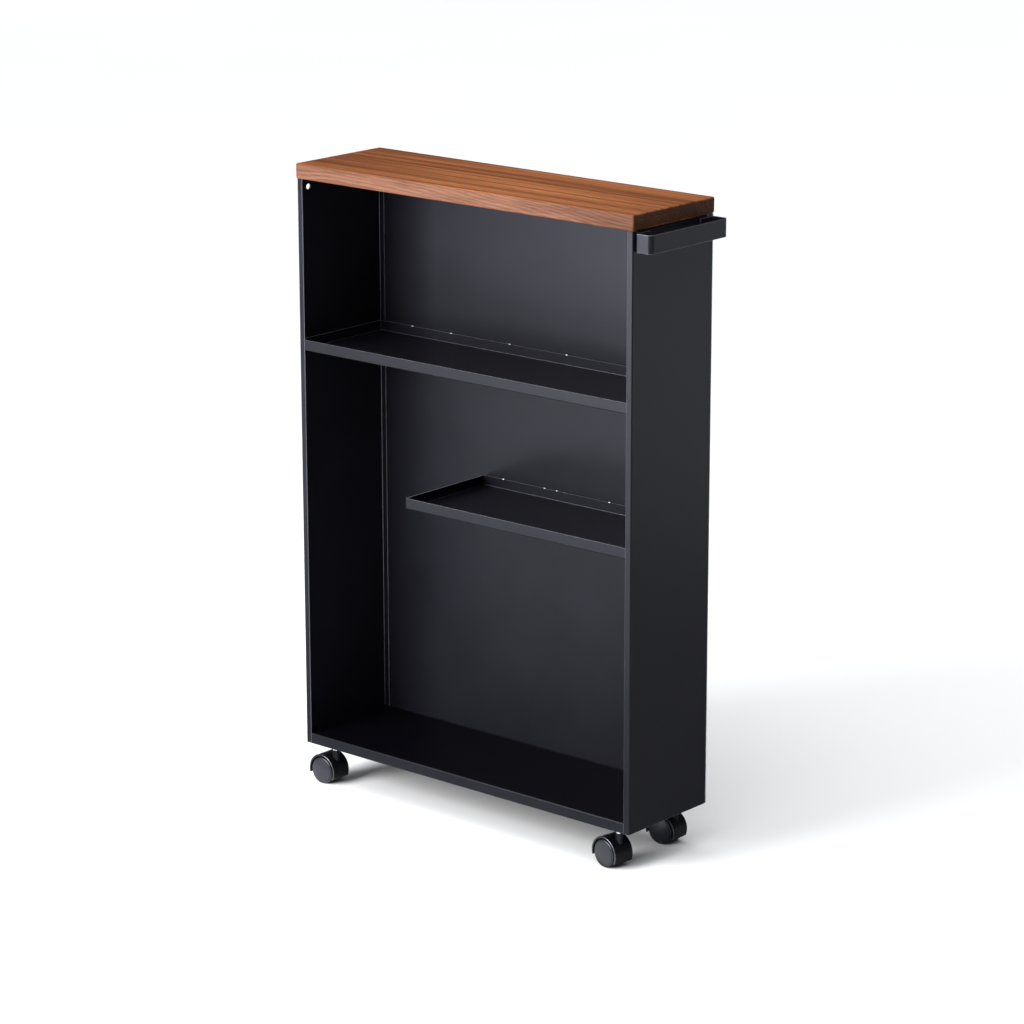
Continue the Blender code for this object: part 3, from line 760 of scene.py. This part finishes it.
def handle_path():
    """The handle's outer face seen from above, from the end of its front foot round to its rear foot."""
    low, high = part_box("handle")
    wall, outer, front, rear = low.x, high.x, low.y, high.y
    foot, bend = HANDLE_FOOT_BEND, HANDLE_BEND
    return [
        (wall, front + HANDLE_FOOT),
        *arc((wall + foot, front + foot), foot, pi, 1.5 * pi, segments=8),
        *arc((outer - bend, front + bend), bend, -pi / 2, 0, segments=12),
        *arc((outer - bend, rear - bend), bend, 0, pi / 2, segments=12),
        *arc((wall + foot, rear - foot), foot, pi / 2, pi, segments=8),
        (wall, rear - HANDLE_FOOT),
    ]


def add_handle():
    """Flat bar on edge, bent into a U with feet turned in."""
    low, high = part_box("handle")
    bm = bmesh.new()
    path = handle_path()
    lower = [bm.verts.new((x, y, low.z)) for x, y in path]
    upper = [bm.verts.new((x, y, high.z)) for x, y in path]
    for corners in zip(lower, lower[1:], upper[1:], upper):
        bm.faces.new(corners)
    handle = new_object("push_handle", bm, COAT, COAT_BEND_HIGHLIGHT)
    modify(handle, "SOLIDIFY", thickness=HANDLE_THICKNESS, offset=-1, use_even_offset=True)
    taps = []
    for screw in HANDLE_SCREWS:
        at = middle_of(screw)
        at.x = low.x + HANDLE_THICKNESS / 2
        taps.append(cylinder(at, "X", HANDLE_TAP_RADIUS, 2 * HANDLE_THICKNESS))
    carve(handle, taps)
    # The handle's rounded edges take the bend coat, a painted highlight
    round_edges(handle, HANDLE_ROUNDING, segments=3, slot=1)
    finish_shading(handle)
    stand_in(handle, "cart", "handle")


def pan_head(length, radius, head_radius):
    """Profile of a threaded pan-head screw pointing up, its head's seat at height 0."""
    core = (1 - SCREW_THREAD_SHARE) * radius
    pitch = SCREW_PITCH_SHARE * head_radius
    thread_top = length - radius
    profile = [(0, length), (core, thread_top)]
    for turn in range(int(thread_top / pitch)):
        height = thread_top - turn * pitch
        profile += [(core, height - 0.2 * pitch), (radius, height - 0.6 * pitch)]
    profile += [(radius, 0), (head_radius, 0)]
    head, rim = HEAD_HEIGHT_SHARE * head_radius, HEAD_RIM_SHARE
    for step in range(HEAD_STEPS):
        angle = pi / 2 * step / HEAD_STEPS
        profile.append((head_radius * cos(angle), -head * (rim + (1 - rim) * sin(angle))))
    return profile + [(0, -head)]


def add_screw(name, node, axis, radius, head_radius):
    """A cross-recessed pan-head screw that fills its CAD node's box."""
    low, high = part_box(node)
    at = (low + high) / 2
    length = (high - low)[0 if axis == "X" else 2]
    head = HEAD_HEIGHT_SHARE * head_radius
    bm = bmesh.new()
    lathe(pan_head(length - head, radius, head_radius), steps=48)(bm)
    screw = new_object(name, bm, ZINC)
    long, wide = RECESS_LENGTH_SHARE * head_radius, RECESS_WIDTH_SHARE * head_radius
    deep = RECESS_DEPTH_SHARE * head
    carve(screw, [block((0, 0, -head), size) for size in ((long, wide, deep), (wide, long, deep))])
    finish_shading(screw, angle=30)
    screw.rotation_euler.y = pi / 2 if axis == "X" else 0.0
    screw.location = (low.x + head, at.y, at.z) if axis == "X" else (at.x, at.y, low.z + head)
    stand_in(screw, "cart", node)


def add_screws():
    for node in sorted(frame["nodes"]):
        if node.startswith("board_screw"):
            add_screw(node.replace("board_screw", "board_fixing"), node, "Z", *BOARD_SCREW)
        elif node.startswith("handle_screw"):
            add_screw(node.replace("handle_screw", "handle_fixing"), node, "X", *HANDLE_SCREW)


# --- Casters ----------------------------------------------------------------------------------------------


class Caster:
    """Where one caster stands, which way it trails, and its sizes, all from the frame."""

    def __init__(self, name):
        spin = JOINTS[f"wheel_spin_{name}_near"]
        stem, axle = JOINTS[f"swivel_turn_{name}"]["pos_m"], spin["pos_m"]
        self.name = name
        self.place = Vector((stem[0], stem[1], 0.0))
        self.turn = atan2(-spin["axis"][0], spin["axis"][1])
        self.trail = sqrt((axle[0] - self.place.x) ** 2 + (axle[1] - self.place.y) ** 2)
        self.axle_height = axle[2]

    def stand(self, obj, swivels=True):
        """Places a piece that is made about its stem's axis."""
        obj.location = self.place
        obj.rotation_euler.z = self.turn if swivels else 0.0

    def beside_stem(self, along_axle):
        """The matrix of a piece that stands on the axle's line, this far along it from the middle."""
        turned = Matrix.Translation(self.place) @ Matrix.Rotation(self.turn, 4, "Z")
        return turned @ Matrix.Translation((-self.trail, along_axle, self.axle_height))


def span(node):
    """The heights of a CAD node's lowest and highest points."""
    low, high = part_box(node)
    return low.z, high.z


def hood_section(radius, half_width):
    """Outline, as (radius, along the axle), of the hood's wall, its rims and the core between the wheels."""
    inner, core, chamfer, soft = radius - HOOD_WALL, CORE_WIDTH / 2, HOOD_INNER_CHAMFER, HOOD_ROUNDING
    half = [(AXLE_BOSS_RADIUS / 2, core), (inner, core), (inner, half_width - chamfer)]
    half.append((inner + chamfer, half_width))
    half += arc((radius - soft, half_width - soft), soft, pi / 2, 0, segments=6)
    return half + [(r, -y) for r, y in reversed(half)]


def hood_drum(axle, radius, half_width):
    """The hood's drum, swept round the axle from its front lip to its back lip, with rounded lips."""
    bm = bmesh.new()
    start = -HOOD_LIP_FRONT
    outline = hood_section(radius, half_width)
    section = [bm.verts.new(axle + Vector((r * cos(start), y, r * sin(start)))) for r, y in outline]
    first = bm.faces.new(section)
    bmesh.ops.spin(
        bm, geom=[first, *first.edges, *first.verts], cent=axle, axis=(0, -1, 0),
        angle=pi + HOOD_LIP_FRONT + HOOD_LIP_BACK, steps=HOOD_STEPS, use_duplicate=False,
    )
    bmesh.ops.recalc_face_normals(bm, faces=bm.faces)
    lips = [edge for edge in bm.edges if any(len(face.verts) > 4 for face in edge.link_faces)]
    bmesh.ops.bevel(
        bm, geom=lips, offset=HOOD_LIP_ROUNDING, offset_type="OFFSET", segments=3, profile=0.5,
        affect="EDGES", clamp_overlap=True,
    )
    return bm


def paint_rim_highlights(hood, axle, radius):
    """The drum's rounded rims take a smoother, glossier nylon that is also lighter; the lighter colour is a
    painted highlight.
    """
    hood.data.materials.append(HOOD_RIM_HIGHLIGHT)
    for face in hood.data.polygons:
        on_drum = (face.center - axle).xz.length > radius - HOOD_WALL
        off_boss = face.center.xy.length > BOSS_RADIUS + BOSS_MARGIN
        if on_drum and off_boss and RIM_FACING[0] < abs(face.normal.y) < RIM_FACING[1]:
            face.material_index = 1


def add_hood(caster):
    """Drum-shaped cover over both wheels, open below, with a boss that takes the stem."""
    node = f"caster_hood_{caster.name}"
    radius = LEFT_STEM - caster.trail - HOOD_LOW.x
    axle = Vector((-caster.trail, 0, caster.axle_height))
    drum = hood_drum(axle, radius, (HOOD_HIGH.y - HOOD_LOW.y) / 2)
    hood = new_object(f"hood_{caster.name}", drum, HOOD_NYLON)

    top = span(node)[1] + BOSS_RISE
    stem_bottom = span(f"caster_stem_{caster.name}")[0]
    boss_bottom = stem_bottom - HOOD_WALL
    boss = lathe([
        (0, top), (BOSS_RADIUS - BOSS_ROUNDING, top), (BOSS_RADIUS, top - BOSS_ROUNDING),
        (BOSS_RADIUS, boss_bottom), (0, boss_bottom),
    ], steps=64)
    core = cylinder(axle, "Y", AXLE_BOSS_RADIUS, CORE_WIDTH - 2 * AXLE_BOSS_SETBACK, sides=64)
    carve(hood, [boss, core], "UNION")

    bore_depth = top - stem_bottom
    bore_centre = (0, 0, stem_bottom - GAP + bore_depth)
    stem_bore = cylinder(bore_centre, "Z", STEM_RADIUS + RUNNING_GAP, 2 * bore_depth)
    axle_bore = cylinder(axle, "Y", AXLE_RADIUS + RUNNING_GAP, 2 * CORE_WIDTH)
    carve(hood, [stem_bore, axle_bore])
    finish_shading(hood, angle=32)
    paint_rim_highlights(hood, axle, radius)
    caster.stand(hood)
    stand_in(hood, f"swivel_{caster.name}", node)


def wheel_profile(radius, width):
    """Half section of a wheel lying on its inner face: domed disc, groove, round tread, hub and blind bore."""
    shares = [step / DOME_STEPS for step in range(DOME_STEPS + 1)]
    disc = [(WHEEL_GROOVE * share, width - WHEEL_DOME * share ** 2) for share in shares]
    shoulder = width - WHEEL_DOME
    groove_edge = WHEEL_GROOVE + GROOVE_SLOPE
    groove = [(r, shoulder - GROOVE_DEPTH) for r in (groove_edge, groove_edge + GROOVE_FLOOR)]
    edge, inner_edge = WHEEL_EDGE, WHEEL_EDGE / 2
    tread = arc((radius - edge, shoulder - TREAD_DROP - edge), edge, pi / 2, 0, segments=6)
    inner = arc((radius - inner_edge, inner_edge), inner_edge, 0, -pi / 2, segments=3)
    rim = radius - RIM_WALL
    hollow = [
        (rim, 0), (rim - RIM_DRAFT, RIM_DEPTH), (HUB_RADIUS + RIM_DRAFT, RIM_DEPTH), (HUB_RADIUS, 0),
    ]
    bore, depth = AXLE_RADIUS + RUNNING_GAP, AXLE_HOLD + GAP
    return disc + groove + tread + inner + hollow + [(bore, 0), (bore, depth), (0, depth)]


def add_wheel(caster, side, sign):
    """One of a caster's two wheels, with its disc facing away from the hood's core."""
    bm = bmesh.new()
    lathe(wheel_profile(caster.axle_height, WHEEL_WIDTH))(bm)
    wheel = new_object(f"wheel_{caster.name}_{side}", bm, WHEEL_NYLON)
    finish_shading(wheel, angle=32)
    inner_face = sign * (CORE_WIDTH / 2 + WHEEL_SIDE_GAP)
    wheel.matrix_world = caster.beside_stem(inner_face) @ Matrix.Rotation(-sign * pi / 2, 4, "X")
    stand_in(wheel, f"wheel_{caster.name}_{side}", f"caster_wheel_{caster.name}_{side}")


def add_stem(caster):
    """Chrome stem with a collar, threaded where the nut holds it."""
    node = f"caster_stem_{caster.name}"
    low, high = span(node)
    collar_top = span(f"caster_nut_{caster.name}")[0] - GAP
    collar_low = collar_top - STEM_COLLAR
    soft = STEM_CHAMFER
    root = THREAD_RADIUS - THREAD_DEPTH
    profile = [(0, high), (root - THREAD_DEPTH, high)]
    for turn in range(int((high - collar_top) / THREAD_PITCH)):
        height = high - soft - turn * THREAD_PITCH
        profile += [(root, height), (THREAD_RADIUS, height - THREAD_PITCH / 2)]
    profile += [
        (root, collar_top), (COLLAR_RADIUS - soft, collar_top), (COLLAR_RADIUS, collar_top - soft),
        (COLLAR_RADIUS, collar_low + soft), (COLLAR_RADIUS - soft, collar_low),
        (STEM_RADIUS + soft, collar_low), (STEM_RADIUS, collar_low - soft), (STEM_RADIUS, low + soft),
        (STEM_RADIUS - soft, low), (0, low),
    ]
    bm = bmesh.new()
    lathe(profile, steps=64)(bm)
    stem = new_object(f"stem_{caster.name}", bm, CHROME)
    finish_shading(stem, angle=30)
    caster.stand(stem, swivels=False)
    stand_in(stem, "cart", node)


def add_nut(caster):
    """Hexagon nut with chamfered corners."""
    node = f"caster_nut_{caster.name}"
    low, high = span(node)
    middle, height = (0, 0, (low + high) / 2), high - low
    flat = NUT_ACROSS_FLATS / 2
    corner = flat / cos(pi / 6)
    bm = bmesh.new()
    cylinder(middle, "Z", corner, height, sides=6)(bm)
    nut = new_object(f"nut_{caster.name}", bm, ZINC)

    # A double cone round the nut takes its corners off, from just above its top to just below its bottom
    over = MM
    tip = flat - NUT_CHAMFER_START - over / NUT_CORNER_SLOPE
    outside = corner + over
    fall = NUT_CORNER_SLOPE * (outside - flat)
    chamfered = lathe([
        (0, high + over), (tip, high + over), (outside, high - fall), (outside, low + fall),
        (tip, low - over), (0, low - over),
    ], steps=64)
    carve(nut, [chamfered], "INTERSECT")
    carve(nut, [cylinder(middle, "Z", THREAD_RADIUS + RUNNING_GAP, 2 * height)])
    finish_shading(nut, angle=25)
    caster.stand(nut, swivels=False)
    stand_in(nut, "cart", node)


def add_axle(caster):
    """Plain pin through the hood's core, held in both wheels."""
    half = CORE_WIDTH / 2 + WHEEL_SIDE_GAP + AXLE_HOLD
    end = [(0, half), (AXLE_RADIUS - AXLE_CHAMFER, half), (AXLE_RADIUS, half - AXLE_CHAMFER)]
    bm = bmesh.new()
    lathe(end + [(r, -z) for r, z in reversed(end)], steps=48)(bm)
    axle = new_object(f"axle_{caster.name}", bm, ZINC)
    finish_shading(axle, angle=30)
    axle.matrix_world = caster.beside_stem(0.0) @ Matrix.Rotation(pi / 2, 4, "X")
    stand_in(axle, f"swivel_{caster.name}", f"caster_axle_{caster.name}")


def add_casters():
    for name in ("front_left", "front_right", "back_left", "back_right"):
        caster = Caster(name)
        add_hood(caster)
        add_axle(caster)
        add_stem(caster)
        add_nut(caster)
        add_wheel(caster, "near", -1)
        add_wheel(caster, "far", 1)


# --- Studio -----------------------------------------------------------------------------------------------


def add_floor():
    bm = bmesh.new()
    bmesh.ops.create_grid(bm, x_segments=1, y_segments=1, size=FLOOR_REACH)
    new_object("studio_floor", bm, floor_finish())


def add_flags():
    """Grey cards on the floor that only reflections see: they keep the coat black, as studio flags do."""
    felt = flag_felt()
    for name, ((left, near), (right, far)) in FLAGS.items():
        bm = bmesh.new()
        corners = ((left, near), (right, near), (right, far), (left, far))
        bm.faces.new([bm.verts.new((x, y, FLAG_HEIGHT)) for x, y in corners])
        flag = new_object(name, bm, felt)
        for ray in ("camera", "diffuse", "transmission", "volume_scatter", "shadow"):
            setattr(flag, f"visible_{ray}", False)


def add_softbox():
    """The one lamp: a large soft panel to the front left."""
    light = bpy.data.lights.new("key_softbox", "AREA")
    light.shape = "RECTANGLE"
    light.size, light.size_y = SOFTBOX_SIZE
    light.energy = SOFTBOX_POWER
    lamp = bpy.data.objects.new("key_softbox", light)
    lamp.location = SOFTBOX_PLACE
    lamp.rotation_euler = (Vector(SOFTBOX_AIM) - lamp.location).to_track_quat("-Z", "Y").to_euler()
    lamp.visible_camera = False
    bpy.context.scene.collection.objects.link(lamp)


def add_world():
    """Surroundings that light the cart from one side, and that the camera itself sees as plain white."""
    world = bpy.data.worlds.new("studio")
    world.use_nodes = True
    tree = world.node_tree
    direction = tree.nodes.new("ShaderNodeTexCoord").outputs["Generated"]
    facing = tree.nodes.new("ShaderNodeVectorMath")
    facing.operation = "DOT_PRODUCT"
    facing.inputs[1].default_value = BRIGHT_SIDE.normalized()
    tree.links.new(direction, facing.inputs[0])
    strength = tree.nodes.new("ShaderNodeMapRange")
    strength.interpolation_type = "SMOOTHSTEP"
    strength.inputs["From Min"].default_value, strength.inputs["From Max"].default_value = BRIGHT_EDGE
    strength.inputs["To Min"].default_value = DIM_STRENGTH
    strength.inputs["To Max"].default_value = BRIGHT_STRENGTH
    tree.links.new(facing.outputs["Value"], strength.inputs["Value"])
    background = tree.nodes["Background"]
    background.inputs["Color"].default_value = SURROUNDINGS_COLOUR
    seen = tree.nodes.new("ShaderNodeMix")
    tree.links.new(tree.nodes.new("ShaderNodeLightPath").outputs["Is Camera Ray"], seen.inputs["Factor"])
    tree.links.new(strength.outputs["Result"], seen.inputs["A"])
    seen.inputs["B"].default_value = 1.0
    tree.links.new(seen.outputs["Result"], background.inputs["Strength"])
    bpy.context.scene.world = world


def add_camera():
    data = bpy.data.cameras.new("camera")
    data.lens = CAMERA_LENS
    camera = bpy.data.objects.new("camera", data)
    camera.location = Vector((LEFT, FRONT, BOTTOM)) + CAMERA_OFFSET
    aim = Matrix.Rotation(CAMERA_AZIMUTH, 4, "Z") @ Matrix.Rotation(pi / 2 - CAMERA_DIP, 4, "X")
    camera.rotation_euler = (aim @ Matrix.Rotation(CAMERA_ROLL, 4, "Z")).to_euler()
    bpy.context.scene.collection.objects.link(camera)
    bpy.context.scene.camera = camera


def set_studio():
    bpy.context.scene.view_settings.view_transform = "Standard"
    add_floor()
    add_world()
    add_softbox()
    add_flags()
    add_camera()


add_side_panel("left_side_sheet", "left_side_panel", LEFT, 1)
add_side_panel("right_side_sheet", "right_side_panel", RIGHT, -1)
add_back_panel()
paint_floor_shade(add_floor_panel("base_sheet", "base_panel", lip_up=False))
add_floor_panel("upper_tray_sheet", "upper_tray", lip_up=True)
add_floor_panel("lower_tray_sheet", "lower_tray", lip_up=True, free_left=True)
add_tack_welds("upper_tray_welds", "upper_tray", UPPER_WELDS)
add_tack_welds("lower_tray_welds", "lower_tray", LOWER_WELDS)
add_board()
add_handle()
add_screws()
add_casters()
set_studio()
